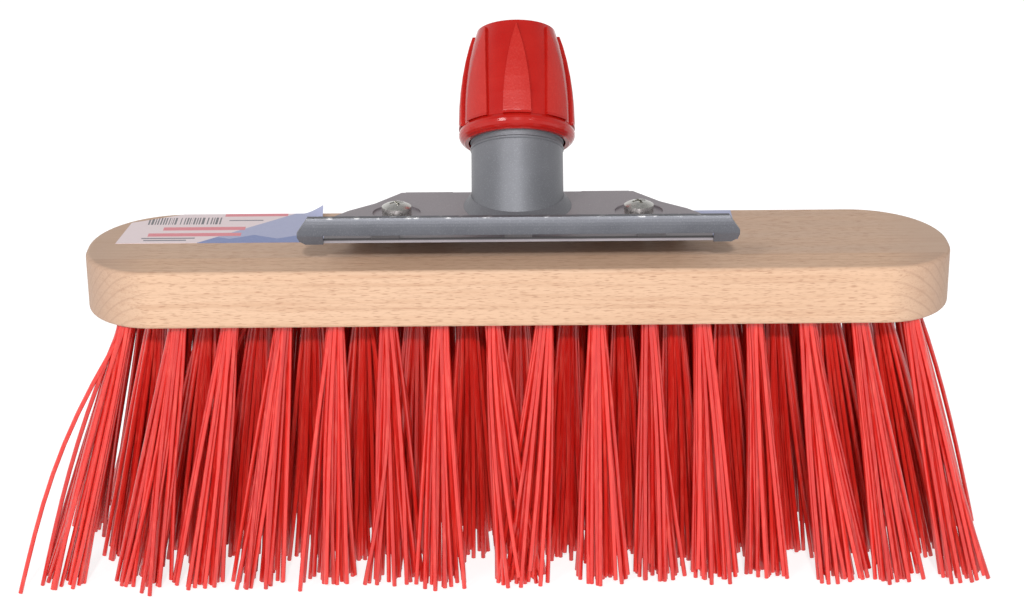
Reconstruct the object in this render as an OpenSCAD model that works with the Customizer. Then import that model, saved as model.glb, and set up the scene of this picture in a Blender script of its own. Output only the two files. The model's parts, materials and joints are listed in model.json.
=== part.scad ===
// Push broom head: a beech block with four rows of bristle tufts, a pressed
// steel bracket with a scraper strip, and a leaning tube socket with a screw clamp
// for a round handle. Millimetres, +Z up, bristle tips on z = 0, scraper at -Y.

/* [Block] */
// Length of the wooden block
block_l = 320; // [280:5:400]
// Width of the wooden block, front to back
block_w = 64; // [62:1:76]
// Thickness of the wooden block
block_t = 22; // [20:0.5:28]
// Corner radius at the back of the block
back_corner_r = 34; // [20:1:36]
// Corner radius at the front of the block
front_corner_r = 26; // [14:1:26]
// Rounding of the block's top and bottom edges
block_edge_r = 1.6; // [0.8:0.2:3]

/* [Bristles] */
// Free length of the bristles below the block
bristle_l = 104; // [70:1:120]
// Tufts in the front row and in the back row
tufts_long = 16; // [10:1:17]
// Spacing of the tufts along a row
tuft_pitch = 19.2; // [17.5:0.1:20]
// Spacing of the rows, front to back
row_pitch = 16; // [14:0.5:17]
// Diameter of the blind tuft holes
hole_d = 7; // [5:0.25:8]
// Depth of the blind tuft holes
hole_depth = 10; // [8:0.5:11]
// Radius of a tuft where its filaments meet the floor
tuft_tip_r = 6.6; // [4:0.1:7]
// Outward lean of the outermost tuft of a row
end_splay = 13; // [0:1:15]
// Outward lean of the front and back rows
row_splay = 4.5; // [0:0.5:6]

/* [Bracket] */
// Thickness of the steel sheet
sheet_t = 1.75; // [1.5:0.25:2]
// Height of the plate's top over the wood at the scraper strip
plate_front_z = 11.8; // [11:0.2:15]
// Slope of the plate, down toward its back edge
plate_tilt = 1.5; // [0:0.1:4]
// Half width of the plate at its back edge
plate_back_x = 44; // [40:1:48]
// Half width of the plate at the scraper strip
plate_front_x = 70.2; // [66:0.2:73]
// Depth of the plate, front to back
plate_depth = 60; // [58:0.5:62]
// Length of the scraper strip along the block
strip_l = 158.8; // [150:0.4:180]
// Height of the scraper strip
strip_h = 10.4; // [8:0.2:14]
// Thickness of the scraper strip
strip_t = 2; // [1.5:0.25:3]
// How far the strip stands out in front of the block
strip_overhang = 1; // [0:0.5:4]
// Distance of each screw from the middle of the block
screw_x = 45; // [43:1:47]
// Distance of the screws behind the middle of the block
screw_y = 0.6; // [-1:0.2:2]

/* [Socket] */
// Outside diameter of the socket tube
tube_d = 34.5; // [33:0.5:36]
// Wall of the socket tube
tube_wall = 1.7; // [1.5:0.1:2]
// Lean of the tube away from the scraper, from upright
tube_lean = 35.5; // [25:0.5:45]
// Length of the tube's axis from the plate to its open end
tube_l = 52; // [46:1:60]
// Distance of the tube's axis behind the middle of the block, at the plate
tube_y = 8.3; // [6:0.1:11]
// Bore of the clamp collet, for a 28 mm handle
grip_d = 28.2; // [28:0.1:28.6]

/* [Clamp nut] */
// Largest diameter of the nut
nut_d = 43.8; // [42:0.2:48]
// Length of the nut
nut_l = 45; // [42:1:50]
// Distance from the plate to the nut along the tube
nut_start = 24; // [20:1:27]
// Raised grip petals around the nut
petals = 8; // [6:1:10]
// Depth of the hollows between the petals
petal_relief = 1.2; // [0.6:0.1:1.4]

/* [Label] */
// Thickness of the paper label
label_t = 0.15; // [0.1:0.05:0.3]

/* [Hidden] */
$fn = 64;
eps = 0.01;
big = 500;
// Shift from the block's middle to the middle of the whole outline
frame_y = -10.75;
block_z = bristle_l;
top_z = block_z + block_t;
rows = 4;
row_1_y = -1.5 * row_pitch;
lead_in = 2;
hole_fit = 0.05;
// Anchor strips that pin each tuft at the bottom of its hole
anchor_l = hole_d + 2.4;
anchor_h = 2.6;
anchor_t = 0.5;
anchor_fit = 0.02;
// Bracket places, heights over the block's top
strip_front_y = -block_w / 2 - strip_overhang;
plate_front_y = strip_front_y + 0.6;
strip_z0 = plate_front_z - sheet_t - 0.1;
notch_fit = 0.02;
notch_h = 4.2;
plate_edge_y = 3.6;
// The strip is a bent sheet: its face curves back and its foot tucks under
strip_lean = 4;
strip_top_lean = 40;
strip_tuck = 31.4;
bend_r = 2.4;
bend_z = 5;
bend_steps = 5;
face_r = 14;
face_steps = 8;
foot_bend = 3;
rear_foot_l = 18;
rear_foot_x = plate_back_x - 1.5 - rear_foot_l / 2;
// Corners of the plate's side, with a skirt under the middle stretch
side_y = 26;
skirt_a = [plate_front_x - 7.2, plate_depth - foot_bend - 21.5];
skirt_b = [plate_back_x + 9.5, plate_depth - foot_bend - 13];
skirt_inset = 0.5;
tack_l = 10;
tack_r = 3.8;
// Screws, 5 x 25 with a cross recess
screw_d = 5;
screw_l = 25;
screw_tip = 5;
head_d = 11;
head_h = 4.8;
pan_d = 18;
pan_depth = 0.7;
clear_d = 5.6;
pilot_fit = 0.02;
pilot_tip_gap = 0.3;
// Rolled thread on the tube, drawn as plain rings
tube_r = tube_d / 2;
tube_ir = tube_r - tube_wall;
thread_pitch = 3;
thread_h = 0.35;
thread_start = nut_start - 2.4;
thread_rings = floor((tube_l - 1 - thread_start) / thread_pitch) + 1;
weld_w = 3;
weld_h = 3.4;
// Collet and the inside of the nut, distances along the tube's axis
fit = 0.08;
grip_r = grip_d / 2;
barrel_r = tube_ir - fit;
barrel_s0 = 34;
head_s0 = tube_l + 0.1;
head_r = tube_r + 0.9;
neck_r = grip_r + 1.9;
head_s1 = head_s0 + 2;
head_s2 = head_s1 + 7.5;
collet_top = head_s2 + 2;
slots = 4;
slot_w = 2;
slot_s0 = barrel_s0 + 5;
nut_r = nut_d / 2;
nut_end = nut_start + nut_l;
collar_h = 6.5;
nut_crown_r = 115;
nut_crown_s = 8;
nut_edge_r = 1;
// The collar is a round bead, drawn as short cones
bead_r = 3.2;
bead_steps = 9;
bead_end = 80;
run_r = tube_r + 1.05;
ridge_r = tube_r + 0.7;
ridge_s0 = tube_l - 1.3;
mouth_r = grip_r + 0.6;
petal_w = 10.4;
petal_top = nut_l - 2.5;
petal_len = petal_top - collar_h;
petal_arc_r = (petal_len * petal_len + petal_w * petal_w / 4) / petal_w;
petal_steps = 5;
crown_steps = 6;
crown_step = (nut_l - nut_edge_r - nut_crown_s) / crown_steps;
// Label outline
label_x0 = -150;
label_x1 = 82;
label_y0 = -1;
label_y1 = block_w / 2 - block_edge_r;
// A torn notch in the label, beside the bracket
tear_x0 = -74.5;
tear_x1 = -48;
tear_y = 20;

// ---------- places ----------
// Rows 3 and 4 have one tuft more than rows 1 and 2, so they show between them.
function row_count(row) = tufts_long + [0, -1, 1, 0][row - 1];
function row_step(row) = row <= 2 ? tuft_pitch : tuft_pitch * (tufts_long - 1) / tufts_long;
function tuft_x(row, i) = (i - (row_count(row) - 1) / 2) * row_step(row);
function tuft_y(row) = row_1_y + (row - 1) * row_pitch;
function reach(x) = x / (tuft_pitch * (tufts_long - 1) / 2);
function lean_x(x) = end_splay * reach(x) * abs(reach(x));
function lean_y(row) = row_splay * tuft_y(row) / row_1_y;
function plate_z(y) = plate_front_z - (y - plate_front_y) * tan(plate_tilt);

module in_frame() { translate([0, frame_y, 0]) children(); }
module on_block() { in_frame() translate([0, 0, top_z]) children(); }

// Local z runs up the tuft, with z = 0 where it enters the block.
module at_tuft(row, i) {
    in_frame() translate([tuft_x(row, i), tuft_y(row), block_z])
        rotate([-lean_y(row), 0, 0])
            rotate([0, -lean_x(tuft_x(row, i)), 0])
                children();
}

// Local y runs back from the plate's front edge, with z = 0 on its top.
module on_plate() {
    on_block() translate([0, plate_front_y, plate_front_z])
        rotate([-plate_tilt, 0, 0])
            children();
}

module above_plate(z) {
    on_plate() translate([-big / 2, -big / 2, z]) cube([big, big, big]);
}

// Local z runs up the tube, with z = 0 on the plate.
module along_tube() {
    on_block() translate([0, tube_y, plate_z(tube_y)])
        rotate([-tube_lean, 0, 0])
            children();
}

// Local z runs up the screw, with z = 0 under its head.
module at_screw(side) {
    on_plate()
        translate([side * screw_x, (screw_y - plate_front_y) / cos(plate_tilt), -pan_depth])
            children();
}

// ---------- block ----------
module rim_profile(depth) {
    square([depth - block_edge_r, block_t]);
    translate([0, block_edge_r])
        square([depth, block_t - 2 * block_edge_r]);
    for (z = [block_edge_r, block_t - block_edge_r])
        translate([depth - block_edge_r, z])
            circle(block_edge_r);
}

module rim_corner(side, end, r) {
    translate([end * (block_l / 2 - r), side * (block_w / 2 - r), 0])
        rotate([0, 0, end > 0 ? (side > 0 ? 0 : -90) : (side > 0 ? 90 : 180)])
            rotate_extrude(angle = 90)
                rim_profile(r);
}

module rim_side(side, r) {
    run = block_l - 2 * r;
    translate([-side * run / 2, side * (block_w / 2 - r), 0])
        rotate([90, 0, side > 0 ? 90 : -90])
            linear_extrude(run)
                rim_profile(r);
}

module rim_end(end) {
    run = block_w - back_corner_r - front_corner_r;
    translate([end * (block_l / 2 - front_corner_r), -block_w / 2 + front_corner_r, 0])
        mirror([end > 0 ? 0 : 1, 0, 0])
            translate([0, run, 0])
                rotate([90, 0, 0])
                    linear_extrude(run)
                        rim_profile(front_corner_r);
}

module block_blank() {
    for (end = [-1, 1]) {
        rim_corner(1, end, back_corner_r);
        rim_corner(-1, end, front_corner_r);
        rim_end(end);
    }
    rim_side(1, back_corner_r);
    rim_side(-1, front_corner_r);
    core_l = block_l - 2 * back_corner_r;
    core_w = block_w - back_corner_r - front_corner_r;
    translate([-block_l / 2 + front_corner_r, -block_w / 2 + front_corner_r - 1, 0])
        cube([block_l - 2 * front_corner_r, core_w + 1, block_t]);
    translate([-core_l / 2, -block_w / 2 + front_corner_r, 0])
        cube([core_l, core_w + 1, block_t]);
}

module tuft_hole(row, i) {
    at_tuft(row, i) translate([0, 0, -lead_in])
        cylinder(d = hole_d, h = hole_depth + lead_in);
    at_tuft(row, i) translate([0, 0, hole_depth - anchor_h / 2 - 0.6])
        cube([anchor_l + anchor_fit, anchor_t + anchor_fit, anchor_h + anchor_fit], center = true);
}

module beech_block() {
    color("burlywood") difference() {
        in_frame() translate([0, 0, block_z]) block_blank();
        for (row = [1 : rows], i = [0 : row_count(row) - 1])
            tuft_hole(row, i);
        for (side = [-1, 1])
            at_screw(side) {
                translate([0, 0, screw_tip - screw_l - 0.05])
                    cylinder(r = screw_d / 2 + pilot_fit, h = screw_l);
                translate([0, 0, -screw_l - pilot_tip_gap])
                    cylinder(d1 = 0.6, d2 = screw_d + 2 * pilot_fit,
                        h = screw_tip + pilot_tip_gap);
            }
    }
}

// ---------- bristles ----------
module tuft(row, i) {
    root_r = hole_d / 2 - hole_fit;
    reach_l = bristle_l * 1.2;
    slope = (tuft_tip_r - root_r) / bristle_l;
    difference() {
        intersection() {
            at_tuft(row, i) union() {
                translate([0, 0, -eps])
                    cylinder(r = root_r, h = hole_depth - hole_fit + eps);
                translate([0, 0, -reach_l])
                    cylinder(r1 = root_r + slope * reach_l, r2 = root_r, h = reach_l);
            }
            translate([-big / 2, -big / 2, 0]) cube([big, big, big]);
        }
        at_tuft(row, i) translate([0, 0, hole_depth - anchor_h / 2 - 0.6])
            cube([anchor_l, anchor_t + anchor_fit, anchor_h + anchor_fit], center = true);
    }
}

module tuft_row(row) {
    color("tomato")
        for (i = [0 : row_count(row) - 1])
            tuft(row, i);
}

module anchor_row(row) {
    color("silver")
        for (i = [0 : row_count(row) - 1])
            at_tuft(row, i) translate([0, 0, hole_depth - anchor_h / 2 - 0.6])
                cube([anchor_l, anchor_t, anchor_h], center = true);
}

module tuft_row_1() { tuft_row(1); }
module tuft_row_2() { tuft_row(2); }
module tuft_row_3() { tuft_row(3); }
module tuft_row_4() { tuft_row(4); }
module anchor_row_1() { anchor_row(1); }
module anchor_row_2() { anchor_row(2); }
module anchor_row_3() { anchor_row(3); }
module anchor_row_4() { anchor_row(4); }

// ---------- bracket ----------
module plate_outline() {
    back = plate_depth - foot_bend;
    half = [[plate_front_x, plate_edge_y], [plate_front_x, side_y], skirt_a, skirt_b,
        [plate_back_x, back]];
    polygon(concat(half, [for (i = [len(half) - 1 : -1 : 0]) [-half[i].x, half[i].y]]));
}

// A skirt under one slanting side of the plate, down to the wood.
module side_skirt(side) {
    run = skirt_b - skirt_a;
    mirror([side > 0 ? 0 : 1, 0, 0])
        translate([skirt_a.x, skirt_a.y, -plate_front_z])
            rotate([0, 0, atan2(run.y, run.x)])
                translate([skirt_inset, skirt_inset, 0])
                    cube([norm(run) - 2 * skirt_inset, sheet_t, plate_front_z - sheet_t / 2]);
}

// A flange folded down from the plate: local y runs outward, z = 0 is the plate's top.
module foot(run, drop) {
    translate([0, 0, -foot_bend])
        rotate([90, 0, 90])
            translate([0, 0, -run / 2])
                linear_extrude(run) {
                    intersection() {
                        difference() {
                            circle(foot_bend);
                            circle(foot_bend - sheet_t);
                        }
                        square(foot_bend);
                    }
                    translate([foot_bend - sheet_t, -drop])
                        square([sheet_t, drop]);
                }
}

module screw_seat(d, z) {
    for (side = [-1, 1])
        at_screw(side) translate([0, 0, z])
            cylinder(d = d, h = sheet_t);
}

module bracket_plate() {
    color("lightsteelblue") difference() {
        union() {
            on_plate() translate([0, 0, -sheet_t])
                linear_extrude(sheet_t)
                    plate_outline();
            for (side = [-1, 1])
                on_plate() translate([side * rear_foot_x, plate_depth - foot_bend, 0])
                    foot(rear_foot_l, plate_front_z);
            for (side = [-1, 1])
                on_plate() side_skirt(side);
            screw_seat(pan_d + 2 * sheet_t, -sheet_t);
        }
        screw_seat(pan_d, 0);
        for (side = [-1, 1])
            at_screw(side) translate([0, 0, -sheet_t * 2])
                cylinder(d = clear_d, h = sheet_t * 4);
        on_block() translate([-big / 2, label_y0, -big + label_t])
            cube([big, big, big]);
        on_block() translate([-big / 2, -big / 2, -big])
            cube([big, big, big]);
    }
}

// The strip's bent section: x runs back from its front, y runs up from its foot.
// A side of it is a straight foot, a tight bend and a face with a large radius.
function ray(a) = [cos(a), sin(a)];
function strip_side(inset) =
    let (low = 180 + strip_tuck, mid = 180 - strip_lean, high = 180 - strip_top_lean,
        bend_c = [bend_r, bend_z], face_c = bend_c + (bend_r - face_r) * ray(mid),
        start = bend_c + (bend_r - inset) * ray(low))
        concat([start + strip_h * [sin(strip_tuck), -cos(strip_tuck)]],
            [for (k = [0 : bend_steps - 1])
                bend_c + (bend_r - inset) * ray(low + k * (mid - low) / bend_steps)],
            [for (k = [0 : face_steps])
                face_c + (face_r - inset) * ray(mid + k * (high - mid) / face_steps)]);

module strip_section() {
    outer = strip_side(0);
    inner = strip_side(strip_t);
    polygon(concat(outer, [for (k = [len(inner) - 1 : -1 : 0]) inner[k]]));
}

// Everything in front of the strip's back face.
module strip_front() {
    inner = strip_side(strip_t);
    polygon(concat([[-strip_h, inner[0].y]], inner, [[-strip_h, inner[len(inner) - 1].y]]));
}

// Places a section at the strip, along the block.
module along_strip(length) {
    on_block() translate([-length / 2, strip_front_y, strip_z0])
        rotate([90, 0, 90])
            linear_extrude(length)
                children();
}

module strip_outline() {
    half = [[strip_l / 2 - 2.8, 0], [strip_l / 2 - 0.6, 1.6], [strip_l / 2, 3.4],
        [strip_l / 2, strip_h - 5.2], [strip_l / 2 - 3.8, strip_h]];
    difference() {
        polygon(concat(half, [for (i = [len(half) - 1 : -1 : 0]) [-half[i].x, half[i].y]]));
        translate([-plate_front_x - notch_fit, -1])
            square([2 * (plate_front_x + notch_fit), notch_h + 1]);
    }
}

module scraper_strip() {
    color("slategray") intersection() {
        along_strip(strip_l) strip_section();
        on_block() translate([0, strip_front_y + 10, strip_z0])
            rotate([90, 0, 0])
                linear_extrude(20)
                    strip_outline();
    }
}

module strip_welds() {
    color("gray") difference() {
        intersection() {
            for (x = [-48, 0, 48])
                on_plate() translate([x - tack_l / 2, plate_edge_y, 0])
                    rotate([0, 90, 0])
                        cylinder(r = tack_r, h = tack_l);
            above_plate(0);
        }
        along_strip(strip_l) strip_front();
    }
}

module screw() {
    difference() {
        union() {
            translate([0, 0, -screw_l + screw_tip])
                cylinder(d = screw_d, h = screw_l - screw_tip + eps);
            translate([0, 0, -screw_l])
                cylinder(d1 = 0.4, d2 = screw_d, h = screw_tip);
            intersection() {
                cylinder(d = head_d, h = head_h);
                translate([0, 0, head_h - head_d * 0.9])
                    sphere(r = head_d * 0.9);
            }
        }
        for (turn = [0, 90])
            rotate([0, 0, turn + 20])
                translate([-2.6, -0.6, head_h - 1.6])
                    cube([5.2, 1.2, 2]);
    }
}

module wood_screws() {
    color("gainsboro")
        for (side = [-1, 1])
            at_screw(side) screw();
}

// ---------- socket ----------
module tube_slice(r, z) {
    intersection() {
        along_tube() translate([0, 0, -tube_r * 2])
            cylinder(r = r, h = tube_l);
        above_plate(z);
        on_plate() translate([-big / 2, -big / 2, z - big + 0.05]) cube([big, big, big]);
    }
}

module weld_bead() {
    color("slategray") difference() {
        hull() {
            tube_slice(tube_r + weld_w, 0);
            tube_slice(tube_r + weld_w * 0.45, weld_h * 0.42);
            tube_slice(tube_r + 0.15, weld_h);
        }
        along_tube() translate([0, 0, -tube_r * 2])
            cylinder(r = tube_r + 0.02, h = tube_l + tube_r * 2);
    }
}

module socket_tube() {
    color("silver") intersection() {
        along_tube() difference() {
            union() {
                translate([0, 0, -tube_r])
                    cylinder(r = tube_r, h = tube_l + tube_r);
                for (i = [0 : thread_rings - 1])
                    translate([0, 0, thread_start + i * thread_pitch])
                        rotate_extrude()
                            polygon([[tube_ir + 1, -0.7], [tube_r, -0.7],
                                [tube_r + thread_h, -0.25], [tube_r + thread_h, 0.25],
                                [tube_r, 0.7], [tube_ir + 1, 0.7]]);
            }
            translate([0, 0, -tube_r * 2])
                cylinder(r = tube_ir, h = tube_l + tube_r * 3);
        }
        above_plate(0);
    }
}

// ---------- clamp ----------
module clamp_collet() {
    color("dimgray") along_tube() difference() {
        union() {
            translate([0, 0, barrel_s0])
                cylinder(r = barrel_r, h = head_s0 - barrel_s0 + eps);
            translate([0, 0, head_s0])
                cylinder(r = head_r, h = head_s1 - head_s0);
            translate([0, 0, head_s1])
                cylinder(r1 = head_r, r2 = neck_r, h = head_s2 - head_s1);
            translate([0, 0, head_s2])
                cylinder(r = neck_r, h = collet_top - head_s2);
        }
        translate([0, 0, barrel_s0 - 1])
            cylinder(r = grip_r, h = collet_top - barrel_s0 + 2);
        for (i = [0 : slots - 1])
            rotate([0, 0, 45 + i * 360 / slots])
                translate([grip_r - 1, -slot_w / 2, slot_s0])
                    cube([tube_r, slot_w, collet_top]);
    }
}

// Outside of the nut: radius at a height over its foot, a large circle's arc.
function crown(z) = nut_r - nut_crown_r + sqrt(nut_crown_r ^ 2 - max(0, z - nut_crown_s) ^ 2);
function petal_half(z) = petal_w / 2 - petal_arc_r
    + sqrt(petal_arc_r ^ 2 - max(0, z - collar_h) ^ 2);

// The nut's lathe section: x is the radius, y runs up from its foot.
module nut_section(inset) {
    polygon(concat([[0, 0], [nut_r - inset - nut_edge_r, 0], [nut_r - inset, nut_edge_r]],
        [for (k = [0 : crown_steps]) let (z = nut_crown_s + k * crown_step)
            [crown(z) - inset, z]],
        [[crown(nut_l) - inset - nut_edge_r, nut_l], [0, nut_l]]));
}

// One pointed petal outline, pushed outward from the axis.
module petal_prism() {
    side = [for (k = [0 : petal_steps]) let (z = collar_h + k * petal_len / petal_steps)
        [petal_half(z), z]];
    rotate([90, 0, 0])
        linear_extrude(nut_r + 2) {
            polygon(concat([[0, collar_h - 1], [petal_w / 2, collar_h - 1]], side));
            mirror([1, 0])
                polygon(concat([[0, collar_h - 1], [petal_w / 2, collar_h - 1]], side));
        }
}

module nut_outside() {
    rotate_extrude() nut_section(petal_relief);
    rotate_extrude() polygon(concat([[0, 0]],
        [for (k = [0 : bead_steps]) let (a = k * (90 + bead_end) / bead_steps - 90)
            [nut_r - bead_r + bead_r * cos(a), bead_r + bead_r * sin(a)]],
        [[0, bead_r + bead_r * sin(bead_end)]]));
    intersection() {
        rotate_extrude() nut_section(0);
        union() for (i = [0 : petals - 1])
            rotate([0, 0, i * 360 / petals])
                petal_prism();
    }
}

module nut_inside() {
    translate([0, 0, nut_start - 1])
        cylinder(r = run_r, h = ridge_s0 - nut_start + 1);
    translate([0, 0, ridge_s0 - 1])
        cylinder(r = ridge_r, h = 3);
    translate([0, 0, head_s0 - 0.1])
        cylinder(r = head_r + fit, h = head_s1 - head_s0 + 0.2);
    translate([0, 0, head_s1 + 0.1])
        cylinder(r1 = head_r + fit, r2 = neck_r + fit, h = head_s2 - head_s1);
    translate([0, 0, head_s2])
        cylinder(r = neck_r + fit, h = collet_top - head_s2 + 0.1);
    translate([0, 0, collet_top])
        cylinder(r = mouth_r, h = nut_end);
}

module clamp_nut() {
    color("crimson") along_tube() difference() {
        translate([0, 0, nut_start]) nut_outside();
        nut_inside();
    }
}

// ---------- label ----------
module label() {
    color("white") difference() {
        on_block() linear_extrude(label_t)
            polygon([[label_x0, label_y0], [label_x1, label_y0], [label_x1, label_y1],
                [tear_x1, label_y1], [tear_x1, tear_y], [tear_x0, tear_y], [tear_x0, label_y1],
                [label_x0 + 22, label_y1], [label_x0 + 3, label_y1 - 9]]);
        for (side = [-1, 1])
            at_screw(side) translate([0, 0, -screw_l])
                cylinder(d = clear_d, h = screw_l);
    }
}

beech_block();
tuft_row_1();
tuft_row_2();
tuft_row_3();
tuft_row_4();
anchor_row_1();
anchor_row_2();
anchor_row_3();
anchor_row_4();
bracket_plate();
scraper_strip();
strip_welds();
wood_screws();
weld_bead();
socket_tube();
clamp_collet();
clamp_nut();
label();
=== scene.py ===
"""Looks of a push broom head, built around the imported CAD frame. Units are metres."""

import json
import math

import bmesh
import bpy
import numpy as np
from mathutils import Matrix, Vector


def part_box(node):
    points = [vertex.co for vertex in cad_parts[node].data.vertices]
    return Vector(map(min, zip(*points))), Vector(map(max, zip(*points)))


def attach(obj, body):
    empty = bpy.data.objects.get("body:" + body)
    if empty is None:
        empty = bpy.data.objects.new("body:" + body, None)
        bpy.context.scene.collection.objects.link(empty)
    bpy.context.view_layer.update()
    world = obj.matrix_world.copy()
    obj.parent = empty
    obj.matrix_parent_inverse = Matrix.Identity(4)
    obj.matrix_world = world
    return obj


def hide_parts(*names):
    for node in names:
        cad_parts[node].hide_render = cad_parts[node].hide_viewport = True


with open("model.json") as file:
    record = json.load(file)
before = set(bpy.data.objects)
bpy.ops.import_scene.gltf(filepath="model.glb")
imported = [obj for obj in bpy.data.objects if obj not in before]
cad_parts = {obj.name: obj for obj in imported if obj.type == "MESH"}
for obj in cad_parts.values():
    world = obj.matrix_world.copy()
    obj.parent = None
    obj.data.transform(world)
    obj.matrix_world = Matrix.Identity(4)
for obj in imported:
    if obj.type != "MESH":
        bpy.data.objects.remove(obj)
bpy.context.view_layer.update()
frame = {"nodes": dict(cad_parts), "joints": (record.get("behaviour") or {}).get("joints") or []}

NODES = frame["nodes"]
BODY = "head"
MM = 0.001

# ---------- the frame's own measures ----------
BLOCK_LO, BLOCK_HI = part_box("beech_block")
MID_Y = (BLOCK_LO.y + BLOCK_HI.y) / 2
TOP_Z = BLOCK_HI.z
STRIP_LO, STRIP_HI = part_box("scraper_strip")
PLATE_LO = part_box("bracket_plate")[0]
PLATE_EDGE_Z = STRIP_LO.z                   # underside of the plate at its front edge
NUT_JOINT = next(j for j in frame["joints"] if j["name"] == "nut_turn")
NUT_AXIS = Vector(NUT_JOINT["axis"]).normalized()
NUT_POINT = Vector(NUT_JOINT["pos_m"])

# ---------- bristles ----------
SEED = 11
FILAMENTS = 28              # filament ends in one tuft
FILAMENT_R = 0.84 * MM
HOLE_R = 3.45 * MM
SPREAD_X = 9.6 * MM         # how far a tuft opens at the floor
SPREAD_Y = 6.6 * MM
FAN_CURVE = (1.08, 0.85, 0.5, 0.6)    # by row: the rows behind open sooner
TIP_JITTER = 1.5 * MM
BOW = 0.8 * MM              # usual bend of a filament
STRAY_SHARE = 0.03
STRAY_BOW = 3.0 * MM
STRAY_TIP = 8.0 * MM
TRIM = 1.5 * MM             # unevenness of the trimmed tips
MAX_TRIM = 7.0 * MM
RING_SIDES = 8
RINGS = 11
ROOT_DEPTH = 6.0 * MM       # how far a filament reaches into its hole
HEAD_ABOVE = 5.0 * MM       # a CAD tuft's head lies this far up in the block
HEAD_GAP = 3.0 * MM         # least gap between two CAD tufts' heads, and their feet
FOOT_GAP = 2.0 * MM
FOOT_BELOW = 0.3 * MM
TUFT_WANDER = 1.6 * MM      # how far a whole tuft leans at random
# Front-row tufts that lean to one side, by their place from the left, and how far.
LEANING_TUFTS = {
    0: -3.0 * MM, 1: -2.5 * MM, 2: -3.0 * MM, 3: -2.0 * MM, 5: 4.0 * MM,
    7: 8.0 * MM, 8: -9.0 * MM, 13: 3.0 * MM}
END_STRAY_BOW = 6.5 * MM    # bend and reach of the loose filaments at the left end
END_STRAY_TIP = 1.0 * MM


def clusters(points, gap):
    """Splits points along X wherever the gap is wide, and gives each group's middle."""
    points = points[np.argsort(points[:, 0])]
    cuts = np.where(np.diff(points[:, 0]) > gap)[0] + 1
    groups = np.split(points, cuts)
    return np.array([(g.min(0) + g.max(0)) / 2 for g in groups])


def tuft_axes(node):
    """Each tuft's root on the block's underside and its foot on the floor, left to right."""
    mesh = NODES[node].data
    co = np.empty(len(mesh.vertices) * 3)
    mesh.vertices.foreach_get("co", co)
    co = co.reshape(-1, 3)
    heads = clusters(co[co[:, 2] > BLOCK_LO.z + HEAD_ABOVE], HEAD_GAP)
    feet = clusters(co[co[:, 2] < FOOT_BELOW], FOOT_GAP)
    share = ((heads[:, 2] - BLOCK_LO.z) / (heads[:, 2] - feet[:, 2]))[:, None]
    return heads + (feet - heads) * share, feet


def tuft_paths(rng, root, foot, lean, stray_side, fan):
    """The centre lines of one tuft's filaments, from inside the block to the floor."""
    k = np.arange(FILAMENTS)
    rho = np.sqrt((k + 0.5) / FILAMENTS)
    phi = k * math.pi * (3 - math.sqrt(5)) + rng.uniform(0, 2 * math.pi)
    start = (HOLE_R - FILAMENT_R) * np.stack([rho * np.cos(phi), rho * np.sin(phi)], 1)
    end = np.stack([SPREAD_X * rho * np.cos(phi), SPREAD_Y * rho * np.sin(phi)], 1)
    end = end + rng.normal(0, TIP_JITTER, end.shape)
    bow = rng.normal(0, BOW, end.shape)
    stray = rng.random(FILAMENTS) < STRAY_SHARE
    bow[stray] += rng.normal(0, STRAY_BOW, (stray.sum(), 2)) * np.array([1, 0.5])
    end[stray] += rng.normal(0, STRAY_TIP, (stray.sum(), 2)) * np.array([1, 0.4])
    if stray_side:
        outer = np.argsort(end[:, 0] * stray_side)[-2:]
        bow[outer, 0] = stray_side * END_STRAY_BOW * np.array([0.5, 1.0])
        end[outer, 0] += stray_side * END_STRAY_TIP * np.array([0.4, 1.0])
    wander = rng.normal(0, TUFT_WANDER, 2) + np.array([lean, 0])
    trim = np.minimum(rng.exponential(TRIM, FILAMENTS), MAX_TRIM)
    depth = ROOT_DEPTH / (root[2] - foot[2])
    t = np.concatenate([[-depth], np.linspace(0, 1, RINGS - 1)])
    tt = np.clip(t, 0, 1)[None, :, None]
    line = root[None, None, :] + (foot - root)[None, None, :] * t[None, :, None]
    line = np.repeat(line, FILAMENTS, axis=0)
    shift = start[:, None, :] + (end + wander - start)[:, None, :] * tt ** fan
    shift = shift + bow[:, None, :] * np.sin(math.pi * tt ** 0.9)
    line[:, :, :2] += shift
    line[:, :, 2] += trim[:, None] * np.clip(t, 0, 1)[None, :] ** 2
    return line


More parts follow.
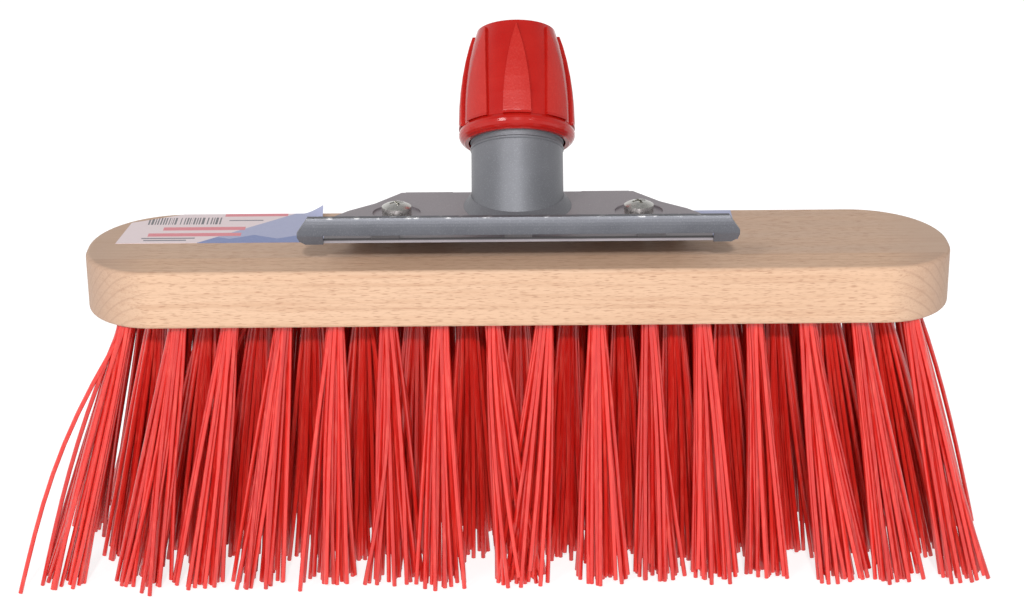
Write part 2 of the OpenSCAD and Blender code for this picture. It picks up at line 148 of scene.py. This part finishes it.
def tube_mesh(name, paths, radius, tones):
    """One mesh of closed round tubes along the paths, with a tone on every tube."""
    count, rings, _ = paths.shape
    tangent = np.gradient(paths, axis=1)
    tangent /= np.linalg.norm(tangent, axis=2, keepdims=True)
    across = np.cross(tangent, np.array([0.0, 1.0, 0.0]))
    across /= np.linalg.norm(across, axis=2, keepdims=True)
    along = np.cross(across, tangent)
    turn = np.linspace(0, 2 * math.pi, RING_SIDES, endpoint=False)
    ring = (across[:, :, None, :] * np.cos(turn)[None, None, :, None]
            + along[:, :, None, :] * np.sin(turn)[None, None, :, None])
    verts = (paths[:, :, None, :] + ring * radius).reshape(-1, 3)
    verts[:, 2] = np.maximum(verts[:, 2], 0.0)
    base = (np.arange(count) * rings * RING_SIDES)[:, None, None]
    row = (np.arange(rings - 1) * RING_SIDES)[None, :, None]
    side = np.arange(RING_SIDES)[None, None, :]
    after = (side + 1) % RING_SIDES
    a, b = base + row + side, base + row + after
    quads = np.stack([a, b, b + RING_SIDES, a + RING_SIDES], -1).reshape(-1, 4).tolist()
    first = base[:, 0] + np.arange(RING_SIDES)[None, ::-1]
    last = base[:, 0] + (rings - 1) * RING_SIDES + np.arange(RING_SIDES)[None, :]
    mesh = bpy.data.meshes.new(name)
    mesh.from_pydata(verts.tolist(), [], quads + first.tolist() + last.tolist())
    mesh.update()
    tone = mesh.attributes.new("tone", "FLOAT", "POINT")
    tone.data.foreach_set("value", np.repeat(tones, rings * RING_SIDES).astype(np.float32))
    mesh.polygons.foreach_set("use_smooth", np.ones(len(mesh.polygons), bool))
    mesh.set_sharp_from_angle(angle=math.radians(40))
    piece = bpy.data.objects.new(name, mesh)
    bpy.context.scene.collection.objects.link(piece)
    return piece


def bristle_row(row):
    rng = np.random.default_rng(SEED + row)
    roots, feet = tuft_axes(f"tuft_row_{row}")
    paths = []
    for i, (root, foot) in enumerate(zip(roots, feet)):
        lean = LEANING_TUFTS.get(i, 0) if row == 1 else 0
        side = -1 if i == 0 and row == 1 else 0
        paths.append(tuft_paths(rng, root, foot, lean, side, FAN_CURVE[row - 1]))
    paths = np.concatenate(paths)
    piece = tube_mesh(f"bristles_row_{row}", paths, FILAMENT_R, rng.random(len(paths)))
    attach(piece, BODY)
    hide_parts(f"tuft_row_{row}")
    return piece


# ---------- node helpers ----------
def material(name):
    mat = bpy.data.materials.new(name)
    mat.use_nodes = True
    return mat, mat.node_tree, mat.node_tree.nodes["Principled BSDF"]


def put(nt, socket, value):
    if isinstance(value, bpy.types.NodeSocket):
        nt.links.new(value, socket)
    else:
        socket.default_value = value


def add(nt, kind, inputs=None, **settings):
    n = nt.nodes.new(kind)
    for key, value in settings.items():
        setattr(n, key, value)
    for key, value in (inputs or {}).items():
        put(nt, n.inputs[key], value)
    return n


def calc(nt, operation, a, b=0.0, c=0.0, clamp=False):
    n = add(nt, "ShaderNodeMath", {0: a, 1: b, 2: c}, operation=operation, use_clamp=clamp)
    return n.outputs[0]


def blend(nt, factor, a, b, how="MIX"):
    n = add(nt, "ShaderNodeMix", data_type="RGBA", blend_type=how)
    for index, value in ((0, factor), (6, a), (7, b)):
        put(nt, n.inputs[index], value)
    return n.outputs[2]


def span(nt, value, low, high, out_low=0.0, out_high=1.0):
    n = add(nt, "ShaderNodeMapRange", {
        "Value": value, "From Min": low, "From Max": high,
        "To Min": out_low, "To Max": out_high})
    return n.outputs[0]


def place(nt):
    return add(nt, "ShaderNodeTexCoord").outputs["Object"]


def stretched(nt, scale, offset=(0, 0, 0)):
    return add(nt, "ShaderNodeMapping", {
        "Vector": place(nt), "Scale": scale, "Location": offset}).outputs[0]


def noise(nt, vector, scale=1.0, detail=3.0, rough=0.5, distort=0.0):
    return add(nt, "ShaderNodeTexNoise", {
        "Vector": vector, "Scale": scale, "Detail": detail,
        "Roughness": rough, "Distortion": distort}).outputs["Fac"]


def axes(nt):
    n = add(nt, "ShaderNodeSeparateXYZ", {0: place(nt)})
    return n.outputs[0], n.outputs[1], n.outputs[2]


def bump(nt, height, distance, strength=1.0):
    return add(nt, "ShaderNodeBump", {
        "Height": height, "Distance": distance, "Strength": strength}).outputs[0]


def rgb(r, g, b):
    """A colour given as on a screen, 0 to 255."""
    def linear(v):
        v = v / 255
        return v / 12.92 if v <= 0.04045 else ((v + 0.055) / 1.055) ** 2.4
    return (linear(r), linear(g), linear(b), 1.0)


# ---------- materials ----------
RING_CENTRE = (0.24, 0.02)      # the tree's middle lies this far in front of and below the block
RINGS_PER_M = 400.0
END_GRAIN = (26.0 * MM, 6.0 * MM)       # end grain starts, and is full, this far from an end
SHADE_WEAK_BAND = (17.2 * MM, 16.6 * MM)     # the painted shade on the top is weaker further than this in front


def beech():
    """Beech with growth rings, fine flecks, end grain, and painted shade that makes the top faces
    darker and greyer.
    """
    mat, nt, shader = material("beech")
    x, y, z = axes(nt)
    base = blend(nt, noise(nt, stretched(nt, (6, 90, 90)), detail=4),
                 rgb(213, 179, 151), rgb(203, 165, 135))
    streak = noise(nt, stretched(nt, (16, 620, 620)), detail=6, rough=0.65)
    base = blend(nt, span(nt, streak, 0.48, 0.78, 0.0, 0.8), base, rgb(184, 143, 114))
    wobble = noise(nt, stretched(nt, (5, 30, 30)), detail=2)
    dy = calc(nt, "ADD", y, RING_CENTRE[0])
    dz = calc(nt, "ADD", z, RING_CENTRE[1])
    far = calc(nt, "SQRT", calc(nt, "ADD", calc(nt, "MULTIPLY", dy, dy),
                                calc(nt, "MULTIPLY", dz, dz)))
    ring = calc(nt, "FRACT", calc(nt, "ADD", calc(nt, "MULTIPLY", far, RINGS_PER_M),
                                  calc(nt, "MULTIPLY", wobble, 2.0)))
    edge = span(nt, calc(nt, "ABSOLUTE", calc(nt, "SUBTRACT", ring, 0.5)), 0.36, 0.5)
    ends = span(nt, calc(nt, "ABSOLUTE", x), BLOCK_HI.x - END_GRAIN[0],
                BLOCK_HI.x - END_GRAIN[1])
    ring_strength = calc(nt, "MULTIPLY", edge, span(nt, ends, 0, 1, 0.12, 0.6))
    base = blend(nt, ring_strength, base, rgb(150, 112, 88))
    base = blend(nt, calc(nt, "MULTIPLY", ends, 0.75), base, rgb(168, 140, 122))
    pore = noise(nt, stretched(nt, (1500, 1900, 1900)), detail=2)
    base = blend(nt, calc(nt, "MULTIPLY", ends, span(nt, pore, 0.5, 0.7, 0.0, 0.25)),
                 base, rgb(150, 118, 96))
    # Painted shade: faces turned up are blended toward a darker, greyer colour, mottled, and weaker
    # on a band along the front.
    up = add(nt, "ShaderNodeSeparateXYZ",
             {0: add(nt, "ShaderNodeNewGeometry").outputs["Normal"]}).outputs[2]
    top_shade_mottle = span(nt, noise(nt, stretched(nt, (9, 120, 120)), detail=5, rough=0.6),
                   0.3, 0.7, 0.5, 0.85)
    front_band = span(nt, y, MID_Y - SHADE_WEAK_BAND[0], MID_Y - SHADE_WEAK_BAND[1], 0.3, 1.0)
    top_shade = calc(nt, "MULTIPLY", calc(nt, "MULTIPLY", span(nt, up, 0.6, 0.95), top_shade_mottle),
                 front_band)
    base = blend(nt, top_shade, base, rgb(190, 163, 143))
    fleck = noise(nt, stretched(nt, (260, 3600, 3600)), detail=1)
    fleck = calc(nt, "MULTIPLY", span(nt, fleck, 0.57, 0.68), span(nt, ends, 0, 1, 0.52, 0.0))
    base = blend(nt, fleck, base, rgb(150, 104, 76))
    put(nt, shader.inputs["Base Color"], base)
    put(nt, shader.inputs["Roughness"], span(nt, streak, 0.3, 0.7, 0.52, 0.64))
    shader.inputs["Specular IOR Level"].default_value = 0.3
    put(nt, shader.inputs["Normal"], bump(nt, calc(nt, "SUBTRACT", streak, fleck), 0.00012, 0.7))
    return mat


def bristle():
    """Glossy red plastic, a little different in every filament, with painted pale highlight streaks
    along the filaments.
    """
    mat, nt, shader = material("bristle")
    tone = add(nt, "ShaderNodeAttribute", attribute_name="tone").outputs["Fac"]
    base = blend(nt, tone, rgb(188, 22, 16), rgb(218, 46, 37))
    cloud = noise(nt, stretched(nt, (900, 900, 60)), detail=2)
    # Painted highlight: pale pink streaks along the filaments.
    base = blend(nt, span(nt, cloud, 0.5, 0.8, 0.0, 0.35), base, rgb(244, 104, 88))
    put(nt, shader.inputs["Base Color"], base)
    put(nt, shader.inputs["Roughness"], span(nt, cloud, 0.3, 0.7, 0.16, 0.26))
    shader.inputs["Specular IOR Level"].default_value = 0.8
    put(nt, shader.inputs["Normal"],
        bump(nt, noise(nt, stretched(nt, (3500, 3500, 120)), detail=2), 0.00003, 0.3))
    return mat


def paint(name, screen, wear_and_shade_mask=None, wear_and_shade=(232, 230, 228)):
    """Silver paint with metal flake. The mask marks where another colour is laid on: bare metal
    nicks on the strip, painted shade on the plate's front edge.
    """
    mat, nt, shader = material(name)
    cloud = noise(nt, stretched(nt, (60, 60, 60)), detail=4)
    flake = noise(nt, stretched(nt, (2600, 2600, 2600)), detail=1)
    base = blend(nt, span(nt, cloud, 0.35, 0.7), rgb(*screen),
                 rgb(*[v + 10 for v in screen]))
    base = blend(nt, span(nt, flake, 0.55, 0.75, 0.0, 0.35), base,
                 rgb(*[v + 45 for v in screen]))
    rough = span(nt, cloud, 0.3, 0.7, 0.42, 0.52)
    if wear_and_shade_mask is not None:
        mask = wear_and_shade_mask(nt)
        base = blend(nt, mask, base, rgb(*wear_and_shade))
        rough = calc(nt, "SUBTRACT", rough, calc(nt, "MULTIPLY", mask, 0.16))
    put(nt, shader.inputs["Base Color"], base)
    put(nt, shader.inputs["Roughness"], rough)
    shader.inputs["Metallic"].default_value = 0.55
    put(nt, shader.inputs["Normal"],
        bump(nt, calc(nt, "ADD", calc(nt, "MULTIPLY", flake, 0.15), cloud), 0.0002, 0.25))
    return mat


NICKS = (0.5 * MM, 0.2 * MM)    # nicks start, and are full, this far under the strip's top
EDGE_SKIN = 0.2 * MM            # how deep the plate's front face is taken to be
EDGE_SHADE_Z = (0.7 * MM, 1.1 * MM)   # painted shade starts, and is full, this far over the plate's underside


def strip_nicks(nt):
    """Nicks of bare metal along the strip's sheared top edge."""
    z = axes(nt)[2]
    ragged = noise(nt, stretched(nt, (300, 300, 300)), detail=4)
    top = span(nt, z, STRIP_HI.z - NICKS[0], STRIP_HI.z - NICKS[1])
    return calc(nt, "MULTIPLY", top, span(nt, ragged, 0.58, 0.68, 0.02, 0.3))


def plate_edge_shade(nt):
    """Painted shade on the upper part of the plate's cut front edge, in the recess under the
    strip's lip.
    """
    _, y, z = axes(nt)
    front = PLATE_LO.y + EDGE_SKIN
    near = span(nt, y, front, front + EDGE_SKIN, 1.0, 0.0)
    high = span(nt, z, PLATE_EDGE_Z + EDGE_SHADE_Z[0], PLATE_EDGE_Z + EDGE_SHADE_Z[1], 0.0, 0.9)
    return calc(nt, "MULTIPLY", near, high)


def grained(name, scale, detail, colours, rough, metallic, depth):
    """A material with one fine grain in its colour, gloss and surface."""
    mat, nt, shader = material(name)
    grain = noise(nt, stretched(nt, scale), detail=detail)
    put(nt, shader.inputs["Base Color"], blend(nt, grain, *colours))
    put(nt, shader.inputs["Roughness"], span(nt, grain, 0.3, 0.7, *rough))
    shader.inputs["Metallic"].default_value = metallic
    put(nt, shader.inputs["Normal"], bump(nt, grain, depth, 0.3))
    return mat


def zinc():
    return grained("screw_zinc", (900, 900, 900), 4, (rgb(190, 189, 186), rgb(224, 222, 216)),
                   (0.2, 0.36), 0.95, 0.00008)


def collet_plastic():
    return grained("collet_plastic", (1500, 1500, 1500), 2, (rgb(44, 44, 47), rgb(62, 62, 66)),
                   (0.42, 0.55), 0.0, 0.0001)


def anchor_steel():
    return grained("anchor_steel", (200, 3000, 3000), 3, (rgb(150, 150, 150), rgb(190, 190, 188)),
                   (0.3, 0.45), 1.0, 0.00005)


CROWN_START = 8.0 * MM          # the nut's sides start to curve in at this height
CROWN_R = 115.0 * MM            # and their curve has this radius
PETAL_EDGE = (-0.7 * MM, -0.5 * MM)     # from hollow to petal, against the curve
COLLAR_H = 6.5 * MM
COLLAR_SOFT = 0.2 * MM


def nut_plastic():
    """Red plastic: glossy collar and hollows, and satin grained petals."""
    mat, nt, shader = material("nut_plastic")
    off = add(nt, "ShaderNodeVectorMath", {0: place(nt), 1: NUT_POINT}, operation="SUBTRACT")
    along = add(nt, "ShaderNodeVectorMath", {0: off.outputs[0], 1: NUT_AXIS},
                operation="DOT_PRODUCT").outputs["Value"]
    away = add(nt, "ShaderNodeVectorMath", {0: off.outputs[0]}, operation="LENGTH")
    square = calc(nt, "SUBTRACT", calc(nt, "POWER", away.outputs["Value"], 2.0),
                  calc(nt, "MULTIPLY", along, along))
    radius = calc(nt, "SQRT", square)
    verts = [v.co - NUT_POINT for v in NODES["clamp_nut"].data.vertices]
    nut_lo = min(v.dot(NUT_AXIS) for v in verts)
    nut_r = max((v - NUT_AXIS * v.dot(NUT_AXIS)).length for v in verts)
    up = calc(nt, "SUBTRACT", along, nut_lo)
    rise = calc(nt, "MAXIMUM", calc(nt, "SUBTRACT", up, CROWN_START), 0.0)
    crown = calc(nt, "SUBTRACT", nut_r, calc(nt, "MULTIPLY", calc(nt, "MULTIPLY", rise, rise),
                                             0.5 / CROWN_R))
    raised = span(nt, calc(nt, "SUBTRACT", radius, crown), *PETAL_EDGE)
    over_collar = span(nt, up, COLLAR_H - COLLAR_SOFT, COLLAR_H + COLLAR_SOFT)
    satin = calc(nt, "MULTIPLY", over_collar, raised)
    grain = noise(nt, stretched(nt, (1700, 1700, 1700)), detail=3)
    cloud = noise(nt, stretched(nt, (70, 70, 70)), detail=3)
    base = blend(nt, satin, rgb(168, 17, 11), rgb(177, 27, 19))
    base = blend(nt, span(nt, cloud, 0.35, 0.75, 0.0, 0.3), base, rgb(196, 48, 38))
    base = blend(nt, calc(nt, "MULTIPLY", satin, span(nt, grain, 0.5, 0.75, 0.0, 0.35)),
                 base, rgb(204, 66, 54))
    put(nt, shader.inputs["Base Color"], base)
    put(nt, shader.inputs["Roughness"],
        calc(nt, "ADD", 0.16, calc(nt, "MULTIPLY", satin, span(nt, grain, 0.3, 0.7, 0.2, 0.32))))
    shader.inputs["Specular IOR Level"].default_value = 0.42
    put(nt, shader.inputs["Normal"],
        bump(nt, calc(nt, "MULTIPLY", grain, satin), 0.00016, 0.5))
    return mat


# Label fields, in millimetres from the block's middle: x from, x to, y from, y to.
BAR_BLOCK = (-141, -113, 19, 26.5)
RED_BARS = ((-134, -103, 12.5, 16), (-139, -104, 6, 9.5), (-112, -88, 27.5, 30.5))
GREY_BARS = ((-141, -121, 3.4, 4.6), (-140, -124, 1.2, 2.4), (-110, -97, 22.5, 23.6))
BLUE_FROM = -118.5              # the blue field starts here at the middle of the block,
BLUE_SLANT = 1.1                # and its edge leans by this much
PEAK_W = 9.0                    # darker peaks along the blue field's front edge
PEAK_SLOPE = -0.45
PEAK_TOP = 3.0


def label_paper():
    """A printed paper label with plain fields and bars, and no lettering."""
    mat, nt, shader = material("label_paper")
    x, y, _ = axes(nt)
    mx = calc(nt, "DIVIDE", x, MM)
    my = calc(nt, "DIVIDE", calc(nt, "SUBTRACT", y, MID_Y), MM)

    def inside(x0, x1, y0, y1):
        mask = calc(nt, "MULTIPLY", calc(nt, "GREATER_THAN", mx, x0), calc(nt, "LESS_THAN", mx, x1))
        tall = calc(nt, "MULTIPLY", calc(nt, "GREATER_THAN", my, y0), calc(nt, "LESS_THAN", my, y1))
        return calc(nt, "MULTIPLY", mask, tall)

    slant = calc(nt, "SUBTRACT", mx, calc(nt, "MULTIPLY", my, BLUE_SLANT))
    ink = calc(nt, "GREATER_THAN", slant, BLUE_FROM)
    base = blend(nt, ink, rgb(220, 204, 206), rgb(162, 166, 194))
    low = calc(nt, "LESS_THAN", calc(nt, "ADD", my, calc(nt, "MULTIPLY", calc(
        nt, "PINGPONG", mx, PEAK_W), PEAK_SLOPE)), PEAK_TOP)
    base = blend(nt, calc(nt, "MULTIPLY", ink, low), base, rgb(122, 134, 176))
    bars = calc(nt, "GREATER_THAN", noise(nt, stretched(nt, (1400, 1, 1)), detail=0), 0.5)
    base = blend(nt, calc(nt, "MULTIPLY", inside(*BAR_BLOCK), bars), base, rgb(110, 108, 112))
    for box in RED_BARS:
        base = blend(nt, inside(*box), base, rgb(214, 130, 138))
    for box in GREY_BARS:
        base = blend(nt, inside(*box), base, rgb(128, 124, 130))
    put(nt, shader.inputs["Base Color"], base)
    fibre = noise(nt, stretched(nt, (900, 900, 900)), detail=4)
    put(nt, shader.inputs["Roughness"], span(nt, fibre, 0.3, 0.7, 0.34, 0.46))
    shader.inputs["Specular IOR Level"].default_value = 0.4
    put(nt, shader.inputs["Normal"], bump(nt, fibre, 0.00005, 0.3))
    return mat


def floor_paint():
    mat, nt, shader = material("floor")
    cloud = noise(nt, stretched(nt, (2, 2, 2)), detail=2)
    put(nt, shader.inputs["Base Color"],
        blend(nt, cloud, (0.33, 0.33, 0.33, 1), (0.36, 0.36, 0.36, 1)))
    shader.inputs["Roughness"].default_value = 0.9
    shader.inputs["Specular IOR Level"].default_value = 0.0
    shader.inputs["Emission Color"].default_value = (1, 1, 1, 1)
    shader.inputs["Emission Strength"].default_value = 0.8
    return mat


def dress(obj, mat):
    obj.data.materials.clear()
    obj.data.materials.append(mat)


# ---------- label ----------
LABEL_STEP = 1.0 * MM
FLAP_X = (-82.0 * MM, -74.5 * MM)
FLAP_RISE = 3.4 * MM
FLAP_DEPTH = 7.0 * MM
CUT_X = 20.0 * MM               # the sheet is cut finely this far around the curl
CUT_Y = 14.0 * MM


def label_sheet():
    """The label as a thin sheet whose torn corner beside the bracket curls up."""
    source = NODES["label"].data
    mesh = bpy.data.meshes.new("label_sheet")
    bm = bmesh.new()
    bm.from_mesh(source)
    bmesh.ops.remove_doubles(bm, verts=bm.verts, dist=1e-6)
    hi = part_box("label")[1]
    for axis, start, stop in ((0, FLAP_X[0] - CUT_X, FLAP_X[1]), (1, hi.y - CUT_Y, hi.y)):
        count = int((stop - start) / LABEL_STEP)
        for k in range(1, count + 1):
            at = Vector((0, 0, 0))
            at[axis] = start + k * LABEL_STEP - 1e-5
            normal = Vector((0, 0, 0))
            normal[axis] = 1
            geom = bm.verts[:] + bm.edges[:] + bm.faces[:]
            bmesh.ops.bisect_plane(bm, geom=geom, plane_co=at, plane_no=normal)
    for v in bm.verts:
        run = (v.co.x - FLAP_X[0]) / (FLAP_X[1] - FLAP_X[0])
        back = (v.co.y - (hi.y - FLAP_DEPTH)) / FLAP_DEPTH
        if v.co.x < FLAP_X[1] + 1e-4 and run > 0 and back > 0:
            v.co.z += FLAP_RISE * min(run, 1) ** 1.4 * back ** 1.3
    bm.to_mesh(mesh)
    bm.free()
    piece = bpy.data.objects.new("label_sheet", mesh)
    bpy.context.scene.collection.objects.link(piece)
    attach(piece, BODY)
    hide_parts("label")
    return piece


# ---------- stage ----------
CAM_DISTANCE = 0.9064
CAM_PITCH = math.radians(22.016)
CAM_YAW = math.radians(0.169)
CAM_ROLL = math.radians(0.401)
CAM_LENS = 84.45
CAM_AIM = Vector((-2.4 * MM, 0, -27.48 * MM))   # from the middle of the block's top


def camera():
    yaw = Matrix.Rotation(-CAM_YAW, 3, "Z")
    right = yaw @ Vector((1, 0, 0))
    ahead = yaw @ Vector((0, math.cos(CAM_PITCH), -math.sin(CAM_PITCH)))
    up = right.cross(ahead)
    turned_right = right * math.cos(CAM_ROLL) - up * math.sin(CAM_ROLL)
    turned_up = right * math.sin(CAM_ROLL) + up * math.cos(CAM_ROLL)
    spot = Vector((0, MID_Y, TOP_Z)) + yaw @ CAM_AIM - ahead * CAM_DISTANCE
    data = bpy.data.cameras.new("camera")
    data.sensor_width = 36
    data.lens = CAM_LENS
    data.clip_end = 50
    cam = bpy.data.objects.new("camera", data)
    axes_matrix = Matrix((turned_right, turned_up, -ahead)).transposed().to_4x4()
    cam.matrix_world = Matrix.Translation(spot) @ axes_matrix
    bpy.context.scene.collection.objects.link(cam)
    bpy.context.scene.camera = cam


def sun(name, azimuth, elevation, strength, spread):
    """Azimuth is measured from the front (-Y), positive toward +X."""
    data = bpy.data.lights.new(name, "SUN")
    data.energy = strength
    data.angle = math.radians(spread)
    lamp = bpy.data.objects.new(name, data)
    a, e = math.radians(azimuth), math.radians(elevation)
    toward = Vector((math.sin(a) * math.cos(e), -math.cos(a) * math.cos(e), math.sin(e)))
    lamp.rotation_euler = toward.to_track_quat("Z", "Y").to_euler()
    bpy.context.scene.collection.objects.link(lamp)


# The studio's walls are bright up to a height and its ceiling is dim: sine of the
# elevation where the change starts and ends, and the brightness below and above it.
HORIZON = (0.35, 0.8, 0.85, 0.34)
SIDES = (1.15, 0.72)            # how bright the left and the right wall are beside the middle


def stage():
    mesh = bpy.data.meshes.new("floor")
    r = 4.0
    mesh.from_pydata([(-r, -r, 0), (r, -r, 0), (r, r, 0), (-r, r, 0)], [], [(0, 1, 2, 3)])
    floor = bpy.data.objects.new("floor", mesh)
    floor.location.z = -0.0002
    bpy.context.scene.collection.objects.link(floor)
    dress(floor, floor_paint())
    world = bpy.data.worlds.new("studio")
    world.use_nodes = True
    nt = world.node_tree
    way = add(nt, "ShaderNodeSeparateXYZ",
              {0: add(nt, "ShaderNodeTexCoord").outputs["Generated"]}).outputs
    glow = calc(nt, "MULTIPLY", span(nt, way[2], *HORIZON), span(nt, way[0], -1, 1, *SIDES))
    put(nt, nt.nodes["Background"].inputs[0], (1, 1, 1, 1))
    put(nt, nt.nodes["Background"].inputs[1], glow)
    bpy.context.scene.world = world
    sun("key", 0, 34, 1.72, 4)
    sun("left", -36, 34, 0.75, 14)
    sun("right", 34, 34, 0.15, 3)
    bpy.context.scene.view_settings.view_transform = "Standard"


# ---------- build ----------
wood = beech()
dress(NODES["beech_block"], wood)
red = bristle()
for row_number in (1, 2, 3, 4):
    dress(bristle_row(row_number), red)
steel = anchor_steel()
for row_number in (1, 2, 3, 4):
    dress(NODES[f"anchor_row_{row_number}"], steel)
# Painted reflection: the plate's paint is lighter and pinker than the strip's, for the bright
# surroundings and red parts it reflects.
# The plate's front edge gets painted shade in (46, 44, 45) under the strip's lip.
dress(NODES["bracket_plate"], paint("plate_paint", (148, 141, 145), plate_edge_shade, (46, 44, 45)))
dress(NODES["scraper_strip"], paint("strip_paint", (90, 91, 97), strip_nicks))
dress(NODES["strip_welds"], paint("tack_paint", (96, 96, 100)))
dress(NODES["weld_bead"], paint("weld_paint", (112, 112, 117)))
dress(NODES["socket_tube"], paint("tube_paint", (112, 113, 118)))
dress(NODES["wood_screws"], zinc())
dress(NODES["clamp_collet"], collet_plastic())
dress(NODES["clamp_nut"], nut_plastic())
dress(label_sheet(), label_paper())

stage()
camera()
